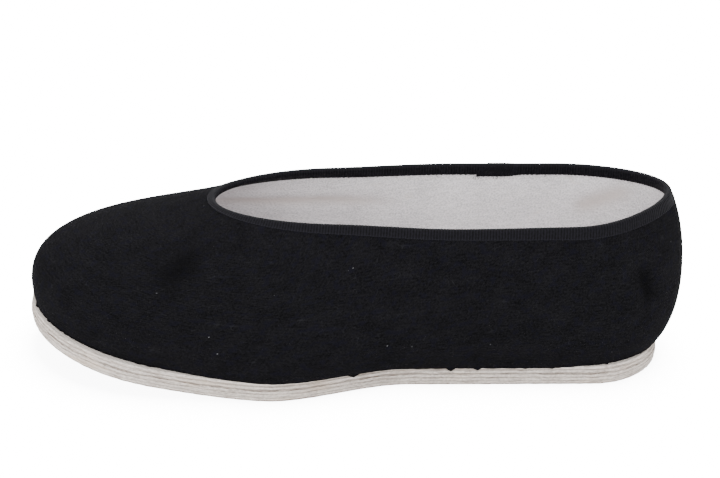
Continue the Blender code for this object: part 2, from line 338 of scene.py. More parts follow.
def ripple(place, seed, fewest, most, parts=7):
    """A soft wavering between about -1 and 1 round the shoe, with this many waves in a round."""
    draw = np.random.default_rng(seed)
    waves = draw.integers(fewest, most + 1, parts)
    turns = draw.uniform(0, 2 * np.pi, parts)
    shares = draw.uniform(0.5, 1.0, parts)
    total = sum(share * np.sin(2 * np.pi * n * place + turn) for share, n, turn in zip(shares, waves, turns))
    return total / np.sqrt(np.sum(shares**2) / 2) / 1.6


def swell(place, level, seed, parts=8):
    """A soft, wide swelling of the cloth between about -1 and 1."""
    draw = np.random.default_rng(seed)
    total = 0.0
    for _ in range(parts):
        waves, rise, turn = draw.integers(3, 13), draw.uniform(-1.3, 1.3), draw.uniform(0, 2 * np.pi)
        total = total + np.sin(2 * np.pi * (waves * place + rise * level) + turn)
    return total / math.sqrt(parts / 2) / 1.6


def close_heel(columns, draw_in=0.6):
    """Places round the shoe that lie closer together at the heel's seam."""
    even = np.linspace(0, 1, columns + 1)
    return even - draw_in / (2 * np.pi) * np.sin(2 * np.pi * even)


def seam_depth(points, depth, width):
    """How deep the heel's seam lies at points of a wall whose first column is the seam."""
    far = np.minimum(
        np.linalg.norm(points - points[:1], axis=-1), np.linalg.norm(points - points[-1:], axis=-1)
    )
    return depth * (np.exp(-((far / width) ** 2)) - 0.3 * np.exp(-(((far - 3.2 * width) / (1.6 * width)) ** 2)))


def soft_step(value, low, high):
    """A soft step of values between two bounds."""
    t = np.clip((value - low) / (high - low), 0, 1)
    return t * t * (3 - 2 * t)


def crease_depth(points, creases, stand):
    """How deep the creases lie at points of the wall, and how strong their folds are there.

    A crease runs through its stops, each a place and a level, and fades out at both ends.
    """
    depth = np.zeros(points.shape[:-1])
    fold = np.zeros(points.shape[:-1])
    for crease in creases:
        stops = np.array(crease.stops)
        at = np.linspace(0, len(stops) - 1, 12 * len(stops))
        place = np.interp(at, range(len(stops)), stops[:, 0])
        level = np.interp(at, range(len(stops)), stops[:, 1])
        line, out, _ = wall_frame(place, level)
        line = line + out * stand
        best = np.full(points.shape[:-1], 1e9)
        share = np.zeros(points.shape[:-1])
        for k in range(len(line) - 1):
            leg = line[k + 1] - line[k]
            t = np.clip(((points - line[k]) @ leg) / (leg @ leg), 0, 1)
            far = np.linalg.norm(points - line[k] - t[..., None] * leg, axis=-1)
            nearer = far < best
            best = np.where(nearer, far, best)
            share = np.where(nearer, (k + t) / (len(line) - 1), share)
        fade = soft_step(share, 0, crease.fade) * soft_step(1 - share, 0, crease.fade)
        trough = np.exp(-((best / crease.width) ** 2)) * fade
        shoulder = np.exp(-(((best - 2.2 * crease.width) / crease.width) ** 2)) * fade
        depth += crease.depth * (trough - crease.shoulder * shoulder)
        # The fold strength is also the mask of the painted shade that the finishes lay in the troughs.
        fold = np.maximum(fold, trough)
    return depth, fold


def flat_grid(name, columns, rows):
    """A flat grid in edit-ready state, with each vertex's column and row."""
    bpy.ops.object.select_all(action="DESELECT")
    bpy.ops.mesh.primitive_grid_add(x_subdivisions=columns, y_subdivisions=rows, size=1.0)
    piece = bpy.context.object
    piece.name = name
    piece.data.name = name
    flat = np.empty(len(piece.data.vertices) * 3)
    piece.data.vertices.foreach_get("co", flat)
    flat = flat.reshape(-1, 3) + 0.5
    return piece, np.rint(flat[:, 0] * columns).astype(int), np.rint(flat[:, 1] * rows).astype(int)


def set_points(piece, points):
    """Moves a piece's vertices to these points."""
    piece.data.vertices.foreach_set("co", np.asarray(points, float).ravel())
    piece.data.update()


def set_marks(piece, name, values):
    """Gives a piece's vertices a number each, which its finish reads."""
    marks = piece.data.attributes.new(name, "FLOAT", "POINT")
    marks.data.foreach_set("value", np.asarray(values, np.float32))


def set_cut(piece, across, up):
    """Gives a piece's UV map the place, in metres, of each vertex in its flat cloth."""
    corners = np.empty(len(piece.data.loops), int)
    piece.data.loops.foreach_get("vertex_index", corners)
    piece.data.uv_layers.active.uv.foreach_set("vector", np.stack([across[corners], up[corners]], 1).ravel())


def wrap(name, points, cut, marks=None):
    """A flat grid wrapped onto an array of points, columns first, and closed where they meet."""
    columns, rows = points.shape[0] - 1, points.shape[1] - 1
    piece, column, row = flat_grid(name, columns, rows)
    set_cut(piece, cut[0][column, row], cut[1][column, row])
    set_points(piece, points[column, row])
    if marks is not None:
        set_marks(piece, "fold", marks[column, row])
    merge(piece)
    return piece


def edit(piece):
    """Opens a piece in edit mode, all selected."""
    bpy.ops.object.select_all(action="DESELECT")
    bpy.context.view_layer.objects.active = piece
    piece.select_set(True)
    bpy.ops.object.mode_set(mode="EDIT")
    bpy.ops.mesh.select_all(action="SELECT")


def merge(piece, distance=1e-6):
    """Closes a piece's seams by joining vertices that lie on each other."""
    edit(piece)
    bpy.ops.mesh.remove_doubles(threshold=distance)
    bpy.ops.object.mode_set(mode="OBJECT")


def face_out(piece):
    """Turns a closed piece's faces outwards."""
    edit(piece)
    bpy.ops.mesh.normals_make_consistent(inside=False)
    bpy.ops.object.mode_set(mode="OBJECT")


def thicken(piece, thickness):
    """Gives a sheet its thickness, inwards from its outer face."""
    bpy.ops.object.select_all(action="DESELECT")
    bpy.context.view_layer.objects.active = piece
    piece.select_set(True)
    solidify = piece.modifiers.new("thickness", "SOLIDIFY")
    solidify.thickness = thickness
    solidify.offset = -1.0
    bpy.ops.object.modifier_apply(modifier=solidify.name)


def join(name, pieces):
    """Joins pieces into one and closes the seams between them."""
    bpy.ops.object.select_all(action="DESELECT")
    for piece in pieces:
        piece.select_set(True)
    bpy.context.view_layer.objects.active = pieces[0]
    bpy.ops.object.join()
    whole = bpy.context.object
    whole.name = name
    whole.data.name = name
    merge(whole)
    return whole


def dress(piece, finish, slot, *nodes):
    """Shades a piece smooth, gives it its finish and seats it on the shoe's body."""
    bpy.ops.object.select_all(action="DESELECT")
    bpy.context.view_layer.objects.active = piece
    piece.select_set(True)
    bpy.ops.object.shade_smooth()
    if finish is not None:
        piece.data.materials.clear()
        piece.data.materials.append(finish)
    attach(piece, BODY)
    if nodes:
        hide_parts(*nodes)
    return piece


class Wire:
    """A value on its way through a material's nodes, with the usual arithmetic."""

    def __init__(self, finish, socket):
        self.finish = finish
        self.socket = socket

    def _math(self, operation, *values):
        return self.finish.node("ShaderNodeMath", {"operation": operation}, dict(enumerate(values)))

    def __add__(self, other):
        return self._math("ADD", self, other)

    def __radd__(self, other):
        return self._math("ADD", other, self)

    def __sub__(self, other):
        return self._math("SUBTRACT", self, other)

    def __rsub__(self, other):
        return self._math("SUBTRACT", other, self)

    def __mul__(self, other):
        return self._math("MULTIPLY", self, other)

    def __rmul__(self, other):
        return self._math("MULTIPLY", other, self)

    def __truediv__(self, other):
        return self._math("DIVIDE", self, other)

    def __pow__(self, other):
        return self._math("POWER", self, other)

    def __gt__(self, other):
        return self._math("GREATER_THAN", self, other)

    def sine(self):
        return self._math("SINE", self)

    def size(self):
        return self._math("ABSOLUTE", self)

    def smaller(self, other):
        return self._math("MINIMUM", self, other)

    def larger(self, other):
        return self._math("MAXIMUM", self, other)


class Finish:
    """A fabric finish: its material and the nodes that make it."""

    def __init__(self, name, roughness, sheen=0.0, sheen_roughness=0.5, specular=0.3):
        self.material = bpy.data.materials.new(name)
        self.material.use_nodes = True
        self.tree = self.material.node_tree
        self.shader = self.tree.nodes["Principled BSDF"]
        self.shader.inputs["Roughness"].default_value = roughness
        self.shader.inputs["Sheen Weight"].default_value = sheen
        self.shader.inputs["Sheen Roughness"].default_value = sheen_roughness
        self.shader.inputs["Specular IOR Level"].default_value = specular

    def node(self, kind, settings=None, values=None, output=0):
        """Adds a node with its settings, then the values or wires of its sockets."""
        node = self.tree.nodes.new(kind)
        for key, setting in (settings or {}).items():
            if key == "stops":
                self.set_stops(node.color_ramp, setting)
            else:
                setattr(node, key, setting)
        for key, value in (values or {}).items():
            self.feed(node.inputs[key], value)
        if output == "all":
            return [Wire(self, socket) for socket in node.outputs]
        return Wire(self, node.outputs[output])

    @staticmethod
    def set_stops(ramp, stops):
        """Sets a ramp's stops, each a place and a colour."""
        while len(ramp.elements) < len(stops):
            ramp.elements.new(1.0)
        for element, (place, colour) in zip(ramp.elements, stops):
            element.position = place
            element.color = (*colour, 1.0)

    def feed(self, socket, value):
        """Links a wire to a socket, or sets the socket's own value."""
        if isinstance(value, Wire):
            self.tree.links.new(value.socket, socket)
        elif socket.type == "RGBA":
            socket.default_value = (*value, 1.0)
        else:
            socket.default_value = value

    def cut(self):
        """The place on the flat cloth, in metres."""
        return self.node("ShaderNodeUVMap", {"uv_map": "UVMap"})

    def object_place(self):
        """The place in the shoe's frame, in metres."""
        return self.node("ShaderNodeTexCoord", output="Object")

    def scaled(self, vector, scale):
        """A vector scaled along each axis."""
        return self.node("ShaderNodeMapping", values={"Vector": vector, "Scale": scale})

    def parts(self, vector):
        """The three numbers of a vector."""
        return self.node("ShaderNodeSeparateXYZ", values={0: vector}, output="all")

    def noise(self, vector, size, detail=2.0, roughness=0.5):
        """Soft noise whose lumps have about this size, in metres."""
        values = {"Vector": vector, "Scale": 1.0 / size, "Detail": detail, "Roughness": roughness}
        return self.node("ShaderNodeTexNoise", values=values)

    def ramp(self, value, *stops):
        """A value read off a ramp of colours."""
        return self.node("ShaderNodeValToRGB", {"stops": stops}, {"Fac": value})

    def step(self, value, low, high):
        """A value turned into a soft step between two bounds."""
        settings = {"interpolation_type": "SMOOTHSTEP"}
        return self.node("ShaderNodeMapRange", settings, {"Value": value, "From Min": low, "From Max": high})

    def specks(self, vector, spacing, reach, rarity):
        """Small scattered specks, one to a cell of this spacing, in the share of cells above rarity."""
        drift = self.node("ShaderNodeTexNoise", values={"Vector": vector, "Scale": 900.0}, output="Color")
        bend = self.node("ShaderNodeVectorMath", {"operation": "MULTIPLY_ADD"}, {0: drift, 1: (0.0004,) * 3, 2: vector})
        cell = self.node("ShaderNodeTexVoronoi", values={"Vector": bend, "Scale": 1.0 / spacing}, output="all")
        chance = self.parts(cell[1])
        near = 1.0 - self.step(cell[0], reach * 0.4, reach)
        return near * (chance[0] > rarity) * (chance[1] * 0.7 + 0.3)

    def hairs(self, vector, spacing, width):
        """Thin curled hairs here and there."""
        field = self.noise(vector, spacing, 0.0)
        here = self.step(self.noise(vector, spacing * 0.8, 1.0), 0.56, 0.64)
        return (1.0 - self.step((field - 0.5).size(), width * 0.2, width)) * here

    def mix(self, share, first, second):
        """A colour between two colours."""
        return self.node("ShaderNodeMix", {"data_type": "RGBA"}, {0: share, 6: first, 7: second}, 2)

    def bump(self, height, depth):
        """Relief on the surface: a height from 0 to 1 stands this deep, in metres."""
        values = {"Height": height, "Distance": depth, "Strength": 1.0}
        self.feed(self.shader.inputs["Normal"], self.node("ShaderNodeBump", values=values))

    def colour(self, value):
        """Sets the base colour."""
        self.feed(self.shader.inputs["Base Color"], value)


def sizes():
    """The sizes that a user may change."""
    return bpy.context.scene.cloth_shoe_sizes


def colours():
    """The colours that a user may change."""
    return bpy.context.scene.cloth_shoe_colours


def black_cotton():
    """Matt black cotton in a fine plain weave, with a little pale lint on it and painted shade in its creases' troughs.
    """
    finish = Finish("black cotton weave", 1.0, specular=0.028)
    base = np.array(colours().cotton)
    cloth = finish.cut()
    across, up, _ = finish.parts(cloth)
    thread = math.pi / sizes().thread_pitch
    weave = (across * thread).sine() * (up * thread).sine()
    fuzz = finish.noise(cloth, 0.0009, 2.0)
    slub = finish.noise(finish.scaled(cloth, (0.12, 1.0, 1.0)), 0.0007, 1.0)
    mottle = finish.noise(cloth, 0.009, 3.0)
    shade = (fuzz - 0.5) * 2.0 + (slub - 0.5) * 0.8 + (mottle - 0.5) * 0.8 + weave * 0.10 + 0.5
    colour = finish.mix(shade.larger(0.0).smaller(1.0), tuple(base * 0.45), tuple(base * 1.65))
    blue = finish.step(finish.noise(cloth, 0.0035, 2.0), 0.50, 0.66)
    colour = finish.mix(blue * 0.5, colour, tuple(base * (1.0, 1.0, 1.55)))
    # Painted shade: where the fold marks are high, in the creases' troughs, the cloth is coloured darker.
    fold = finish.node("ShaderNodeAttribute", {"attribute_name": "fold"}, output="Fac")
    colour = finish.mix(fold * 0.65, colour, tuple(base * 0.35))
    lint = finish.specks(cloth, 0.0085, 0.040, 0.55)
    dust = finish.specks(cloth, 0.0030, 0.060, 0.80)
    hairs = finish.hairs(cloth, 0.0055, 0.020)
    colour = finish.mix((lint * 0.9).smaller(1.0), colour, (0.18, 0.18, 0.19))
    colour = finish.mix((dust * 0.35).smaller(1.0), colour, (0.050, 0.050, 0.056))
    colour = finish.mix((hairs * 0.10).smaller(1.0), colour, (0.050, 0.050, 0.058))
    finish.colour(colour)
    finish.bump(weave * 0.35 + fuzz * 0.9 + slub * 0.4, 0.00018)
    return finish.material


def black_tape():
    """Black ribbed tape, with painted highlights on its rib crests and painted shade in the grooves, and lighter along
    its woven edge.
    """
    finish = Finish("black ribbed tape", 0.70, sheen=0.03, sheen_roughness=0.3, specular=0.08)
    base = np.array(colours().tape)
    cloth = finish.cut()
    across, up, _ = finish.parts(cloth)
    rib = (across * (2 * math.pi / sizes().rib_pitch) + math.pi / 2).sine() * 0.5 + 0.5
    weft = (up * (2 * math.pi / 0.00042)).sine() * 0.5 + 0.5
    fuzz = finish.noise(cloth, 0.0009, 2.0)
    edge = finish.step(up, 0.00020, 0.00040) * (1.0 - finish.step(up, 0.00075, 0.00110))
    # Painted highlight and shade: the rib crests are coloured lighter and the grooves between them darker, as light
    # would fall on the ribs.
    shade = rib * 0.60 + weft * 0.08 + (fuzz - 0.5) * 1.1 + edge * 0.45 + 0.10
    finish.colour(finish.mix(shade.larger(0.0).smaller(1.0), tuple(base * 0.15), tuple(base * 1.9)))
    finish.bump(rib * 0.5 + weft * 0.15 + fuzz * 0.4, 0.00012)
    return finish.material


def white_cotton(name="brushed white cotton", thread=0.0009):
    """Brushed off-white cotton, with warm painted shade in its folds and a few faint marks."""
    finish = Finish(name, 0.93, sheen=0.10, specular=0.12)
    base = np.array(colours().lining)
    cloth = finish.cut()
    across, up, _ = finish.parts(cloth)
    weave = (across * (math.pi / thread)).sine() * (up * (math.pi / thread)).sine()
    fuzz = finish.noise(cloth, 0.0009, 3.0, 0.65)
    nap = finish.noise(finish.scaled(cloth, (0.35, 1.0, 1.0)), 0.0020, 2.0)
    cloud = finish.noise(cloth, 0.022, 2.0)
    shade = (fuzz - 0.5) * 3.6 + (nap - 0.5) * 0.9 + (cloud - 0.5) * 0.8 + weave * 0.06 + 0.55
    colour = finish.mix(shade.larger(0.0).smaller(1.0), tuple(base * 0.70), tuple(base * 1.14))
    # Painted shade: where the fold marks are high, in the creases' troughs, the lining is coloured darker and warmer,
    # broken up by its fuzz.
    fold = finish.node("ShaderNodeAttribute", {"attribute_name": "fold"}, output="Fac")
    colour = finish.mix(fold * (fuzz * 0.9 + 0.25), colour, tuple(base * (0.74, 0.67, 0.61)))
    marks = finish.step(finish.noise(cloth, 0.011, 4.0, 0.6), 0.58, 0.72)
    colour = finish.mix(marks * 0.30, colour, tuple(base * (0.84, 0.79, 0.72)))
    specks = finish.specks(cloth, 0.0060, 0.05, 0.80)
    colour = finish.mix(specks * 0.3, colour, tuple(base * 0.45))
    finish.colour(colour)
    finish.bump(weave * 0.2 + fuzz * 1.0 + nap * 0.5, 0.00022)
    return finish.material


def sole_edge():
    """The trimmed edges of the plies: off-white layers with fine dark lines between them."""
    finish = Finish("trimmed sole edge", 0.90, specular=0.15)
    base = np.array(colours().sole)
    cloth = finish.cut()
    layers = finish.noise(finish.scaled(cloth, (0.045, 1.0, 1.0)), 0.00050, 3.0, 0.6)
    fray = finish.noise(finish.scaled(cloth, (0.6, 1.0, 1.0)), 0.0009, 3.0, 0.65)
    cloud = finish.noise(finish.scaled(cloth, (0.4, 1.0, 1.0)), 0.006, 2.0)
    shade = (layers - 0.5) * 2.4 + (fray - 0.5) * 2.8 + (cloud - 0.5) * 0.8 + 0.62
    colour = finish.mix(shade.larger(0.0).smaller(1.0), tuple(base * (0.62, 0.60, 0.59)), tuple(base * 1.14))
    tan = finish.step(finish.noise(finish.scaled(cloth, (0.25, 1.0, 1.0)), 0.008, 2.0), 0.54, 0.68)
    colour = finish.mix(tan * 0.45, colour, tuple(base * (0.98, 0.86, 0.73)))
    fold = finish.node("ShaderNodeAttribute", {"attribute_name": "fold"}, output="Fac")
    broken = finish.step(finish.noise(finish.scaled(cloth, (0.12, 0.6, 1.0)), 0.0012, 3.0, 0.6), 0.38, 0.56)
    dashes = finish.step(finish.noise(finish.scaled(cloth, (0.07, 1.0, 1.0)), 0.00050, 2.0, 0.5), 0.56, 0.68)
    cracks = finish.step(finish.noise(finish.scaled(cloth, (0.25, 1.0, 1.0)), 0.0014, 2.0), 0.60, 0.70)
    line = (fold * (broken * 0.75 + 0.25)).larger(dashes * 0.50).larger(cracks * 0.50 * fray).smaller(1.0)
    colour = finish.mix(line * 0.9, colour, tuple(base * (0.24, 0.17, 0.13)))
    specks = finish.specks(cloth, 0.0035, 0.07, 0.72)
    colour = finish.mix(specks * 0.35, colour, tuple(base * (0.40, 0.36, 0.33)))
    finish.colour(colour)
    finish.bump(layers * 0.9 + fray * 1.0 - line * 0.8, 0.00025)
    return finish.material


def sole_face():
    """The plain cotton faces of a ply."""
    finish = Finish("sole cotton face", 0.92, sheen=0.05, specular=0.12)
    base = np.array(colours().sole)
    cloth = finish.cut()
    across, up, _ = finish.parts(cloth)
    weave = (across * (math.pi / 0.0008)).sine() * (up * (math.pi / 0.0008)).sine()
    fuzz = finish.noise(cloth, 0.0008, 3.0, 0.6)
    cloud = finish.noise(cloth, 0.015, 3.0)
    shade = (fuzz - 0.5) * 1.2 + (cloud - 0.5) * 0.6 + weave * 0.12 + 0.55
    finish.colour(finish.mix(shade.larger(0.0).smaller(1.0), tuple(base * 0.84), tuple(base * 1.08)))
    finish.bump(weave * 0.5 + fuzz * 0.8, 0.0002)
    return finish.material


def thread_finish(name, colour, roughness=0.85):
    """Spun cotton thread with a fine twist."""
    finish = Finish(name, roughness, sheen=0.05, specular=0.15)
    base = np.array(colour)
    fuzz = finish.noise(finish.object_place(), 0.0004, 2.0)
    finish.colour(finish.mix(fuzz, tuple(base * 0.7), tuple(base * 1.25)))
    finish.bump(fuzz, 0.00008)
    return finish.material


# The tape's section: how far down from the collar each row lies, how far across the tape it is, and
# its stand as a share of the tape's thickness.
TAPE_OUTSIDE = ((1.00, 0.00, 0.0), (1.00, 0.00, 0.9), (0.97, 0.01, 1.35), (0.88, 0.04, 1.1), (0.70, 0.12, 1.0), (0.35, 0.28, 1.0))
TAPE_INSIDE = ((0.30, 0.72, 1.0), (0.65, 0.86, 1.0), (0.96, 0.99, 1.0), (1.00, 1.00, 0.4))
LAP = (0.7975, 0.8330)
LAP_SLANT = 0.0155
DARK_ENDS = (
    (0.7965, 0.0040, 0.0019), (0.7975, 0.0042, 0.0024), (0.7985, 0.0042, 0.0016), (0.8000, 0.0042, 0.0012),
    (0.8100, 0.0043, 0.0013), (0.8115, 0.0043, 0.0017), (0.8125, 0.0042, 0.0012), (0.8480, 0.0034, 0.0013),
    (0.8487, 0.0034, 0.0010), (0.7700, 0.0034, 0.0010), (0.7420, 0.0034, 0.0009),
)
PALE_ENDS = (
    (0.6595, 0.0048, 0.0026), (0.6610, 0.0046, 0.0022), (0.6660, 0.0042, 0.0015), (0.6700, 0.0042, 0.0013),
    (0.6764, 0.0041, 0.0017), (0.6785, 0.0041, 0.0012),
)
SEAM_OPENINGS = (0.0, 0.00005, 0.00007, 0.00024, 0.00008)
SEAM_MARKS = (1.0, 0.30, 0.45, 1.0, 0.35, 0.0)


class ShoeSizes(bpy.types.PropertyGroup):
    """Sizes of the shoe's fabric details."""

    rib_pitch: bpy.props.FloatProperty(
        name="Rib pitch", description="Distance between the tape's ribs", default=0.00117, unit="LENGTH"
    )
    rib_depth: bpy.props.FloatProperty(
        name="Rib depth", description="How far a rib stands out of the tape", default=0.00010, unit="LENGTH"
    )
    thread_pitch: bpy.props.FloatProperty(
        name="Thread pitch", description="Distance between the black cloth's threads", default=0.0005, unit="LENGTH"
    )
    cloth_thickness: bpy.props.FloatProperty(
        name="Cloth thickness", description="Thickness of the black cloth", default=0.0006, unit="LENGTH"
    )
    lining_thickness: bpy.props.FloatProperty(
        name="Lining thickness", description="Thickness of the lining", default=0.0005, unit="LENGTH"
    )


class ShoeColours(bpy.types.PropertyGroup):
    """Colours of the shoe's fabrics."""

    cotton: bpy.props.FloatVectorProperty(
        name="Upper", description="Colour of the black cloth", subtype="COLOR", default=(0.0059, 0.0057, 0.0066)
    )
    tape: bpy.props.FloatVectorProperty(
        name="Tape", description="Colour of the collar tape", subtype="COLOR", default=(0.0050, 0.0047, 0.0066)
    )
    lining: bpy.props.FloatVectorProperty(
        name="Lining", description="Colour of the white lining", subtype="COLOR", default=(0.82, 0.79, 0.80)
    )
    sole: bpy.props.FloatVectorProperty(
        name="Sole", description="Colour of the sole's cotton", subtype="COLOR", default=(0.73, 0.665, 0.605)
    )


class SHOE_OT_upper(bpy.types.Operator):
    """Wraps the black cloth round the last"""

    bl_idname = "cloth_shoe.upper"
    bl_label = "Add Upper"

    def execute(self, context):
        columns, rows = 480, 72
        place = close_heel(columns)[:, None]
        level = np.linspace(0, 1, rows + 1)[None, :]
        points, out, _ = wall_frame(place, level)
        across = np.repeat(run_length(points[:, rows // 2])[:, None], rows + 1, 1)
        up = np.stack([run_length(column) for column in points])
        depth, fold = crease_depth(points, UPPER_CREASES, 0.0)
        stand = 0.00022 * swell(place, level, 3) * np.sin(np.pi * level) ** 0.7 - depth
        stand = stand - seam_depth(points, 0.0005, 0.0007) * soft_step(1 - level, 0.0, 0.1)
        gather = soft_step(np.abs(place - 0.5), 0.24, 0.12) * np.exp(-level / 0.07)
        stand = stand + 0.00016 * gather * ripple(place, 5, 90, 150)
        points = points + out * stand[..., None]
        points[:, 0, 2] -= SEAT_GAP
        points[:, 0, 2] += 0.00012 * ripple(place[:, 0], 8, 60, 200)
        nick = np.maximum(ripple(place[:, 0], 9, 110, 230) - 0.75, 0)
        points[:, 0] += out[:, 0] * (0.0018 * nick)[:, None]
        # The fold strength goes onto the piece as its fold marks, which the black cloth's finish turns into painted
        # shade.
        piece = wrap("upper_cloth", points, (across, up), fold)
        thicken(piece, sizes().cloth_thickness)
        face_out(piece)
        dress(piece, black_cotton(), "black_cloth", "upper")
        return {"FINISHED"}


class SHOE_OT_lining(bpy.types.Operator):
    """Lines the upper with white cotton"""

    bl_idname = "cloth_shoe.lining"
    bl_label = "Add Lining"

    def execute(self, context):
        columns, rows = 420, 64
        place = close_heel(columns)[:, None]
        level = np.linspace(0, 1, rows + 1)[None, :]
        points, out, _ = wall_frame(place, level)
        across = np.repeat(run_length(points[:, rows // 2])[:, None], rows + 1, 1)
        up = np.stack([run_length(column) for column in points])
        depth, fold = crease_depth(points - out * UPPER_WALL, LINING_CREASES, -UPPER_WALL)
        loose = np.sin(np.pi * level) ** 0.7
        stand = UPPER_WALL - sizes().lining_thickness + 0.0005 * loose
        stand = stand + 0.00020 * swell(place, level, 11) * loose - depth
        stand = stand - seam_depth(points, 0.0003, 0.0007) * loose
        stand = stand + crease_depth(points, UPPER_CREASES, 0.0)[0]
        points = points - out * stand[..., None]
        # The fold strength goes onto the lining as its fold marks, which its finish turns into painted shade.
        piece = wrap("lining", points, (across, up), fold)
        thicken(piece, sizes().lining_thickness)
        face_out(piece)
        dress(piece, white_cotton(), "white_cotton", "upper")
        return {"FINISHED"}


class SHOE_OT_tape(bpy.types.Operator):
    """Folds the ribbed tape over the collar's edge, with its ends lapped"""

    bl_idname = "cloth_shoe.tape"
    bl_label = "Add Collar Tape"

    def execute(self, context):
        even = np.linspace(0, 1, 4 * LAST_COLUMNS + 1)
        girth = run_length(wall_frame(even, 1.0)[0])
        ribs = round(girth[-1] / sizes().rib_pitch)
        place = np.interp(np.linspace(0, girth[-1], 4 * ribs + 1), girth, even)
        finish = black_tape()
        tape = self.fold("collar_tape", place, ribs)
        dress(tape, finish, "black_tape", "collar_binding")
        start, end = LAP
        ribs = round((np.interp(end, even, girth) - np.interp(start, even, girth)) / sizes().rib_pitch)
        run = np.linspace(np.interp(start, even, girth), np.interp(end, even, girth), 4 * ribs + 1)
        lap = self.fold("tape_lap", np.interp(run, girth, even), ribs, lapped=True)
        dress(lap, finish, "black_tape", "collar_binding")
        return {"FINISHED"}

    @classmethod
    def fold(cls, name, place, ribs, lapped=False):
        """A length of tape folded over the collar."""
        rib = np.append(np.tile([1.0, 0.5, 0.0, 0.5], ribs), 1.0) * sizes().rib_depth
        points = cls.section(place, rib, lapped)
        across = np.stack([run_length(column) for column in points])
        run = np.arange(len(place)) * sizes().rib_pitch / 4
        piece = wrap(name, points, (np.repeat(run[:, None], points.shape[1], 1), across))
        if lapped:
            edit(piece)
            bpy.ops.mesh.select_all(action="DESELECT")
            bpy.ops.mesh.select_non_manifold()
            bpy.ops.mesh.fill(use_beauty=True)
            bpy.ops.object.mode_set(mode="OBJECT")
        face_out(piece)
        return piece

    @staticmethod
    def section(place, rib, lapped):
        """The tape's closed section at each place: outer face from outside over to inside, and back.

        The lapped end of the tape lies on top of its start, is cut slantwise and thins out.
        """
        gap, thick = BINDING_GAP, BINDING_THICKNESS
        share = np.linspace(0, 1, len(place))
        lift = 0.00034 * (1 - soft_step(share, 0.35, 1.0)) - 0.00012 if lapped else 0.0
        longer = 0.0008 * (1 - soft_step(share, 0.6, 1.0)) if lapped else 0.0
        outer, inner = [], []

        def spot(across):
            """The places of a row that lies this far across the tape, slanted at the lapped end."""
            slant = LAP_SLANT * (1 - across) * (1 - share) if lapped else 0.0
            return place + slant

        def side(down, across, stand, inside):
            here = spot(across)
            wide = BINDING_WIDTH * np.ones_like(here)
            if inside:
                wide = wide + longer + 0.00010 * ripple(here, 21, 150, 420)
            else:
                wide = wide * read(COLLAR_ROWS, "tape", collar_along(here)) + 0.00005 * ripple(here, 22, 80, 200)
            point, out, _ = wall_frame(here, level_below(here, down * wide))
            return point + out * (-(UPPER_WALL + stand) if inside else stand)[:, None]

        def over(turn, stand):
            point, out, up = wall_frame(spot(0.4 + 0.2 * turn), 1.0)
            angle = math.pi * turn
            reach = (UPPER_WALL / 2 + stand)[:, None]
            return point - out * UPPER_WALL / 2 + (out * math.cos(angle) + up * math.sin(angle)) * reach

        low = gap + 0 * rib
        for down, across, raised in TAPE_OUTSIDE:
            outer.append(side(down, across, gap + thick * raised + (rib + lift) * (raised > 0.3), False))
        outer += [over(k / 8, gap + thick + rib + lift) for k in range(9)]
        for down, across, raised in TAPE_INSIDE:
            outer.append(side(down, across, gap + thick * raised + (rib + lift) * (raised > 0.3), True))
        inner = [side(1.0, 1.0, low, True)] + [over(turn, low) for turn in (1.0, 0.5, 0.0)]
        return np.stack(outer + inner + [outer[0]], 1)


def slab(name, profile, heights, edge_finish, face_finish, ledge=0.0, columns=720, across=12):
    """A closed ply: its edge wrapped round the outline, its two faces laid from side to side.

    Each row of the profile is how far the edge stands in, its height, and its mark.
    """
    rings = np.stack([sole_ring(columns, back, height, ledge) + SHIFT for back, height, _ in profile], 1)
    closed = np.concatenate([rings, rings[:1]])
    girth = np.repeat(run_length(closed[:, len(profile) // 2])[:, None], len(profile), 1)
    tall = np.stack([height * np.ones(columns) for _, height, _ in profile], 1)
    marks = np.stack([mark * np.ones(columns) for _, _, mark in profile], 1)
    edge = wrap(name + "_edge", closed, (girth, np.concatenate([tall, tall[:1]])), np.concatenate([marks, marks[:1]]))
    edge.data.materials.append(edge_finish)
    parts = [edge]
    half = columns // 2
    share = np.linspace(0, 1, across + 1)[None, :, None]
    for row, height in zip((0, len(profile) - 1), heights):
        near, far = rings[: half + 1, row], rings[(-np.arange(half + 1)) % columns, row]
        points = near[:, None] * (1 - share) + far[:, None] * share
        points[:, 1:-1, 2] = (ground_height(points[..., 0] - SHIFT[0]) + height)[:, 1:-1]
        face = wrap(f"{name}_face_{row}", points, (points[..., 0], points[..., 1]), 0 * points[..., 0])
        face.data.materials.append(face_finish)
        parts.append(face)
    whole = join(name, parts)
    face_out(whole)
    return whole


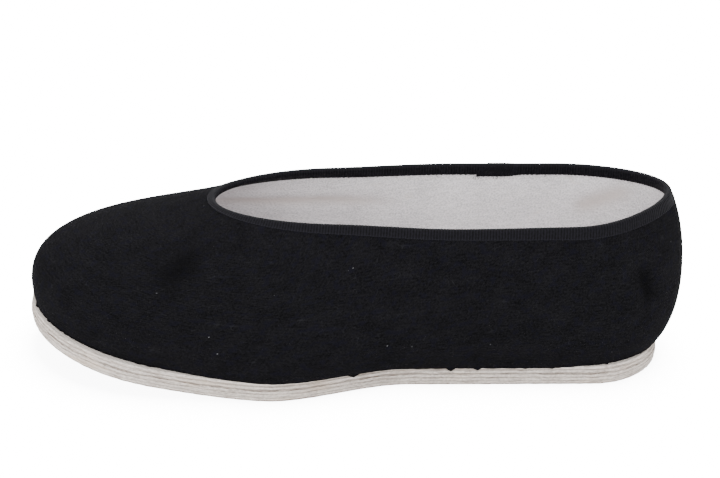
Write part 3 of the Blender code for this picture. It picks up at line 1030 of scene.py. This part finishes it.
class SHOE_OT_sole(bpy.types.Operator):
    """Stacks the plies of the sole, with their trimmed edges wavering a little"""

    bl_idname = "cloth_shoe.sole"
    bl_label = "Add Sole"

    def execute(self, context):
        columns = 720
        place = np.arange(columns) / columns
        edge_finish, face_finish = sole_edge(), sole_face()
        seams, bottoms, bottom = [], [], 0.0
        for k, row in enumerate(PLY_ROWS):
            bottoms.append(bottom)
            opening = SEAM_OPENINGS[k] * (1 + 0.55 * ripple(place, 40 + k, 30, 90))
            seams.append((bottom - PLY_GAP / 2 + 0.00013 * ripple(place, 30 + k, 12, 70), np.maximum(opening, 0.00003)))
            bottom += row.thickness * PLY_THICKNESS + PLY_GAP
        for k, row in enumerate(PLY_ROWS):
            low = seams[k][0] + seams[k][1] / 2 if k else np.zeros(columns)
            flat_top = bottoms[k] + row.thickness * PLY_THICKNESS
            high = seams[k + 1][0] - seams[k + 1][1] / 2 if k + 1 < len(PLY_ROWS) else flat_top + 0 * place
            marks = (SEAM_MARKS[k], SEAM_MARKS[k + 1])
            profile = self.profile(place, row.inset * EDGE_TAPER, low, high, marks, 0.0 if k else 0.8, 50 + k)
            name = row.name.replace("sole_ply", "ply")
            piece = slab(name, profile, (bottoms[k], flat_top), edge_finish, face_finish, columns=columns)
            dress(piece, None, "sole_cotton", row.name)
        return {"FINISHED"}

    @staticmethod
    def profile(place, inset, low, high, marks, spread, seed):
        """The rows of a ply's edge from its underside to its top, and the dark lines' strength on them.

        The spread is how much of the lower line reaches up the edge.
        """
        inset = inset - 0.00008 * ripple(place, seed, 40, 160) - 0.00006 * ripple(place, seed + 10, 6, 20)
        tall = high - low
        return (
            (inset + 0.00040, low, marks[0]),
            (inset + 0.00009, low + 0.04 * tall, marks[0]),
            (inset + 0.00001, low + 0.26 * tall, spread * marks[0]),
            (inset - 0.00002, low + 0.50 * tall, 0.0),
            (inset + 0.00001, low + 0.83 * tall, 0.0),
            (inset + 0.00009, low + 0.96 * tall, marks[1]),
            (inset + 0.00040, high, marks[1]),
        )


class SHOE_OT_insole(bpy.types.Operator):
    """Lays the insole on the sole"""

    bl_idname = "cloth_shoe.insole"
    bl_label = "Add Insole"

    def execute(self, context):
        finish = white_cotton("insole cotton", 0.0008)
        inset = UPPER_WALL + INSOLE_GAP
        low = STACK_HEIGHT + SEAT_GAP
        high = low + INSOLE_THICKNESS
        profile = ((inset + 0.0004, low, 0), (inset, low + 0.0004, 0), (inset, high - 0.0004, 0), (inset + 0.0004, high, 0))
        piece = slab("insole_sock", profile, (low, high), finish, finish, LEDGE, columns=360, across=48)
        dress(piece, None, "white_cotton", "insole")
        return {"FINISHED"}


def thread_skin(path, radius, sides=6):
    """The skin of a thread along a path, pinched shut at both ends, and its flat cut."""
    path = np.asarray(path, float)
    along = unit(np.gradient(path, axis=0))
    aside = unit(np.cross(along, (0.31, 0.22, 0.93)))
    third = np.cross(along, aside)
    thick = radius * np.sin(np.pi * np.clip(np.linspace(-0.02, 1.02, len(path)), 0, 1)) ** 0.25
    angle = np.linspace(0, 2 * np.pi, sides + 1)[:, None, None]
    skin = path[None] + (np.cos(angle) * aside[None] + np.sin(angle) * third[None]) * thick[None, :, None]
    run = run_length(path)
    return skin, (np.repeat(angle[:, :, 0] * radius, len(path), 1), np.repeat(run[None], sides + 1, 0))


def threads(name, paths, radius):
    """Loose threads along paths, joined into one piece."""
    parts = [wrap(f"{name}_{k}", *thread_skin(path, radius)) for k, path in enumerate(paths)]
    whole = join(name, parts)
    face_out(whole)
    return whole


class SHOE_OT_threads(bpy.types.Operator):
    """Adds the frayed ends of the tape's lap and the loose threads at the rim"""

    bl_idname = "cloth_shoe.threads"
    bl_label = "Add Loose Threads"

    def execute(self, context):
        draw = np.random.default_rng(17)
        dark = [self.hanging(place, down, length, draw) for place, down, length in DARK_ENDS]
        piece = threads("tape_frays", dark, 0.00010)
        dress(piece, thread_finish("black thread", (0.02, 0.02, 0.024)), "black_tape")
        pale = [self.hanging(place, down, -length, draw, 1.6) for place, down, length in PALE_ENDS]
        piece = threads("pale_threads", pale, 0.00024)
        dress(piece, thread_finish("white thread", (0.70, 0.68, 0.66)), "white_cotton")
        return {"FINISHED"}

    @staticmethod
    def hanging(place, down, length, draw, curl=1.0):
        """The path of a short thread that hangs from the tape's inner edge."""
        level = level_below(np.array([place]), np.array([down]))
        point, out, up = (item[0] for item in wall_frame(np.array([place]), level))
        aside = np.cross(up, out)
        lean, swing = draw.uniform(-0.8, 0.8) * curl, draw.uniform(-0.5, 0.5) * curl
        share = np.linspace(0, 1, 9)[:, None]
        start = point - out * (UPPER_WALL + BINDING_GAP + BINDING_THICKNESS + 0.0003)
        bend = aside * (lean * share + swing * share**2)
        return start + length * (-up * share * 0.8 + bend - out * 0.3 * share * (1 - share))


class SHOE_OT_stage(bpy.types.Operator):
    """Sets the floor, the lights and the camera"""

    bl_idname = "cloth_shoe.stage"
    bl_label = "Add Stage"

    def execute(self, context):
        self.add_floor()
        self.add_lights()
        self.add_camera()
        return {"FINISHED"}

    @staticmethod
    def add_floor():
        """A wide pale floor under the shoe, glowing evenly but for a painted contact shadow round the sole."""
        count = 120
        rings = [sole_ring(count, -far, 0 * far) * (1, 1, 0) + SHIFT for far in FLOOR_RINGS]
        angle = 2 * np.pi * np.arange(count) / count
        wide = np.stack([6 * np.cos(angle), -6 * np.sin(angle), 0 * angle], 1)
        points = np.stack([0 * wide, *rings, wide], 1)
        points = np.concatenate([points, points[:1]])
        # Painted contact shadow: the marks are full under the sole and fade within a few millimetres outside it.
        marks = np.array([1.0, *np.exp(-np.maximum(FLOOR_RINGS, 0) / 0.007), 0.0]) + np.zeros(points.shape[:2])
        floor = wrap("floor", points, (points[..., 0], points[..., 1]), marks)
        finish = Finish("pale floor", 0.8, specular=0.2)
        finish.colour((0.9, 0.9, 0.9))
        # The glow turns grey where the marks are high: a painted shadow, not one cast by the lamps.
        near = finish.node("ShaderNodeAttribute", {"attribute_name": "fold"}, output="Fac")
        glow = finish.mix(near, (1.0, 1.0, 1.0), (0.60, 0.60, 0.61))
        finish.feed(finish.shader.inputs["Emission Color"], glow)
        finish.shader.inputs["Emission Strength"].default_value = FLOOR_GLOW
        floor.data.materials.append(finish.material)
        reach = bpy.data.collections.new("floor glow reach")
        reach.objects.link(floor)
        floor.light_linking.receiver_collection = reach

    @staticmethod
    def add_lights():
        """A wide lamp overhead, two softer ones at the sides and a pale world."""
        for name, place, size, power in (
            ("overhead lamp", (0.05, 0.05, 1.3), 1.2, 16.5),
            ("front lamp", (-0.3, -1.35, 0.75), 1.0, 13.0),
            ("back lamp", (0.2, 1.2, 0.8), 0.9, 10.0),
        ):
            bpy.ops.object.light_add(type="AREA", location=place)
            lamp = bpy.context.object
            lamp.name = name
            lamp.data.shape = "SQUARE"
            lamp.data.size = size
            lamp.data.energy = power
            lamp.rotation_mode = "QUATERNION"
            lamp.rotation_quaternion = Vector(place).to_track_quat("Z", "Y")
        world = bpy.data.worlds.new("pale room")
        world.use_nodes = True
        world.node_tree.nodes["Background"].inputs["Color"].default_value = (1.0, 1.0, 1.0, 1.0)
        world.node_tree.nodes["Background"].inputs["Strength"].default_value = 1.25
        bpy.context.scene.world = world

    @staticmethod
    def add_camera():
        """The camera at the photograph's angle: level, a little above the shoe's outer side."""
        azimuth, elevation = math.radians(-0.41), math.radians(26.40)
        distance = 0.57086
        back = Vector(
            (math.sin(azimuth) * math.cos(elevation), -math.cos(azimuth) * math.cos(elevation), math.sin(elevation))
        )
        target = Vector((-0.13036 + SHIFT[0], SHIFT[1], 0.05272))
        bpy.ops.object.camera_add(location=target + back * distance)
        camera = bpy.context.object
        camera.name = "camera"
        camera.rotation_mode = "QUATERNION"
        camera.rotation_quaternion = back.to_track_quat("Z", "Y")
        camera.data.sensor_width = 36.0
        camera.data.lens = 1338.4 * camera.data.sensor_width / PHOTO_WIDTH
        camera.data.clip_start = 0.01
        bpy.context.scene.camera = camera


class SHOE_PT_panel(bpy.types.Panel):
    """Buttons, sizes and colours of the cloth shoe"""

    bl_idname = "SHOE_PT_panel"
    bl_label = "Cloth Shoe"
    bl_space_type = "VIEW_3D"
    bl_region_type = "UI"
    bl_category = "Cloth Shoe"

    def draw(self, context):
        layout = self.layout
        for group in (context.scene.cloth_shoe_sizes, context.scene.cloth_shoe_colours):
            for name in group.bl_rna.properties.keys():
                if name not in ("rna_type", "name"):
                    layout.prop(group, name)
        for operator in OPERATORS:
            layout.operator(operator.bl_idname)


OPERATORS = (
    SHOE_OT_upper,
    SHOE_OT_lining,
    SHOE_OT_tape,
    SHOE_OT_sole,
    SHOE_OT_insole,
    SHOE_OT_threads,
    SHOE_OT_stage,
)
CLASSES = (ShoeSizes, ShoeColours, *OPERATORS, SHOE_PT_panel)


def register():
    for item in CLASSES:
        bpy.utils.register_class(item)
    bpy.types.Scene.cloth_shoe_sizes = bpy.props.PointerProperty(type=ShoeSizes)
    bpy.types.Scene.cloth_shoe_colours = bpy.props.PointerProperty(type=ShoeColours)


def unregister():
    del bpy.types.Scene.cloth_shoe_colours
    del bpy.types.Scene.cloth_shoe_sizes
    for item in reversed(CLASSES):
        bpy.utils.unregister_class(item)


def main():
    register()
    bpy.ops.cloth_shoe.upper()
    bpy.ops.cloth_shoe.lining()
    bpy.ops.cloth_shoe.tape()
    bpy.ops.cloth_shoe.sole()
    bpy.ops.cloth_shoe.insole()
    bpy.ops.cloth_shoe.threads()
    bpy.ops.cloth_shoe.stage()


if __name__ == "__main__":
    main()
